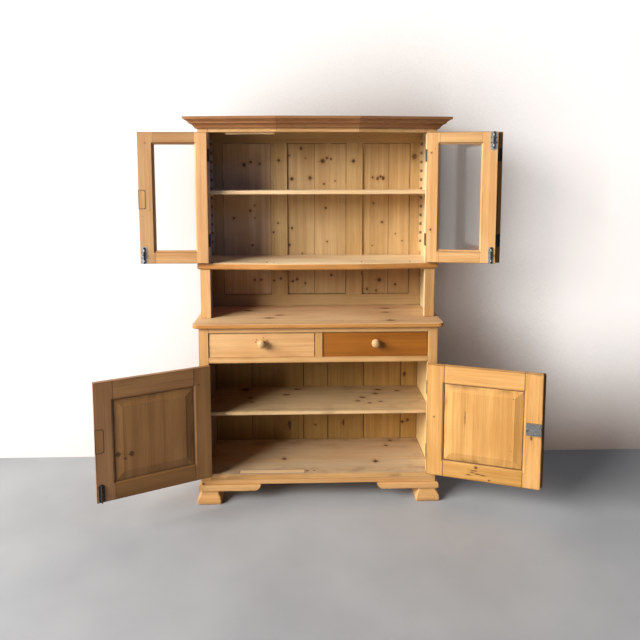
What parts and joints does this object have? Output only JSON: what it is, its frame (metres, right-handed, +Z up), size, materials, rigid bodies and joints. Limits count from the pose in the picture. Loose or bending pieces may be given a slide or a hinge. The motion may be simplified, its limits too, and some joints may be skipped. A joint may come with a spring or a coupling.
{
  "type": "glazed hutch",
  "caption": "Old pine dresser: drawers and panelled doors below, an open niche, and a shelved hutch with a canted, glazed, folding front and a moulded cornice above.",
  "frame": {"origin": "on the ground under the middle of the box round the open piece, on the cupboard's own left-right middle", "axes": "+X to the right of someone facing the front, +Y to the back, +Z up"},
  "size_m": [2.0764, 0.7083, 1.926],
  "materials": {
    "old_pine": "waxed, satin",
    "drawer_pine": "waxed, satin",
    "knob_pine": "pale, waxed",
    "hinge_iron": "worn, dark",
    "bolt_steel": "worn, dull",
    "window_glass": "clear"
  },
  "bodies": {
    "carcass": {"base_side_left": "old_pine", "base_side_right": "old_pine", "base_floor": "old_pine", "base_shelf": "old_pine", "base_back": "old_pine", "plinth_rail": "old_pine", "drawer_bottom_rail": "old_pine", "drawer_top_rail": "old_pine", "drawer_divider": "old_pine", "counter_top": "old_pine", "front_foot_left": "old_pine", "front_foot_right": "old_pine", "hutch_side_left": "old_pine", "hutch_side_right": "old_pine", "hutch_shelf": "old_pine", "waist_board": "old_pine", "hutch_back_panel_left": "old_pine", "hutch_back_panel_centre": "old_pine", "hutch_back_panel_right": "old_pine", "hutch_back_frame": "old_pine", "frieze_rail": "old_pine", "hutch_top": "old_pine", "cornice": "old_pine", "lower_door_left_lower_hinge": "hinge_iron", "lower_door_left_upper_hinge": "hinge_iron", "lower_door_right_lower_hinge": "hinge_iron", "lower_door_right_upper_hinge": "hinge_iron", "leaf_left_lower_hinge": "hinge_iron", "leaf_left_upper_hinge": "hinge_iron", "leaf_right_lower_hinge": "hinge_iron", "leaf_right_upper_hinge": "hinge_iron"},
    "drawer_left": {"drawer_left_front": "old_pine", "drawer_left_box": "old_pine", "drawer_left_knob": "knob_pine"},
    "drawer_right": {"drawer_right_front": "drawer_pine", "drawer_right_box": "old_pine", "drawer_right_knob": "knob_pine"},
    "lower_door_left": {"lower_door_left_hinge_stile": "old_pine", "lower_door_left_meeting_stile": "old_pine", "lower_door_left_bottom_rail": "old_pine", "lower_door_left_top_rail": "old_pine", "lower_door_left_panel": "old_pine"},
    "lower_door_right": {"lower_door_right_hinge_stile": "old_pine", "lower_door_right_meeting_stile": "old_pine", "lower_door_right_bottom_rail": "old_pine", "lower_door_right_top_rail": "old_pine", "lower_door_right_panel": "old_pine", "lower_door_right_lock": "bolt_steel"},
    "lower_door_left_bolt": {"lower_door_left_bolt": "bolt_steel"},
    "leaf_left": {"leaf_left_frame": "old_pine", "leaf_left_glass": "window_glass"},
    "leaf_right": {"leaf_right_frame": "old_pine", "leaf_right_glass": "window_glass", "leaf_centre_lower_hinge": "hinge_iron", "leaf_centre_upper_hinge": "hinge_iron"},
    "leaf_centre": {"leaf_centre_frame": "old_pine", "leaf_centre_glass": "window_glass"},
    "leaf_left_bottom_bolt": {"leaf_left_bottom_bolt": "bolt_steel"},
    "leaf_right_bottom_bolt": {"leaf_right_bottom_bolt": "bolt_steel"},
    "leaf_right_top_bolt": {"leaf_right_top_bolt": "bolt_steel"}
  },
  "joints": [
    {"name": "drawer_left_slide", "type": "slide", "parent": "carcass", "child": "drawer_left", "axis": [0, -1, 0], "range_m": [0, 0.28]},
    {"name": "drawer_right_slide", "type": "slide", "parent": "carcass", "child": "drawer_right", "axis": [0, -1, 0], "range_m": [0, 0.28]},
    {"name": "lower_door_left_swing", "type": "hinge", "parent": "carcass", "child": "lower_door_left", "pos_m": [-0.541, -0.0933, 0.436], "axis": [0, 0, -1], "range_deg": [-155, 20]},
    {"name": "lower_door_right_swing", "type": "hinge", "parent": "carcass", "child": "lower_door_right", "pos_m": [0.541, -0.0933, 0.436], "axis": [0, 0, 1], "range_deg": [-161, 15]},
    {"name": "leaf_left_swing", "type": "hinge", "parent": "carcass", "child": "leaf_left", "pos_m": [-0.54321, 0.01692, 1.53], "axis": [0, 0, -1], "range_deg": [-174.5, 5]},
    {"name": "leaf_right_swing", "type": "hinge", "parent": "carcass", "child": "leaf_right", "pos_m": [0.54321, 0.01692, 1.53], "axis": [0, 0, 1], "range_deg": [-164, 8]},
    {"name": "leaf_centre_fold", "type": "hinge", "parent": "leaf_right", "child": "leaf_centre", "pos_m": [0.87884, -0.04684, 1.53], "axis": [0, 0, 1], "range_deg": [-121, 8]},
    {"name": "lower_door_left_bolt_slide", "type": "slide", "parent": "lower_door_left", "child": "lower_door_left_bolt", "axis": [0, 0, -1], "range_m": [0, 0.016]},
    {"name": "leaf_left_bottom_bolt_slide", "type": "slide", "parent": "leaf_left", "child": "leaf_left_bottom_bolt", "axis": [0, 0, -1], "range_m": [0, 0.016]},
    {"name": "leaf_right_bottom_bolt_slide", "type": "slide", "parent": "leaf_right", "child": "leaf_right_bottom_bolt", "axis": [0, 0, -1], "range_m": [0, 0.016]},
    {"name": "leaf_right_top_bolt_slide", "type": "slide", "parent": "leaf_right", "child": "leaf_right_top_bolt", "axis": [0, 0, 1], "range_m": [0, 0.016]}
  ]
}
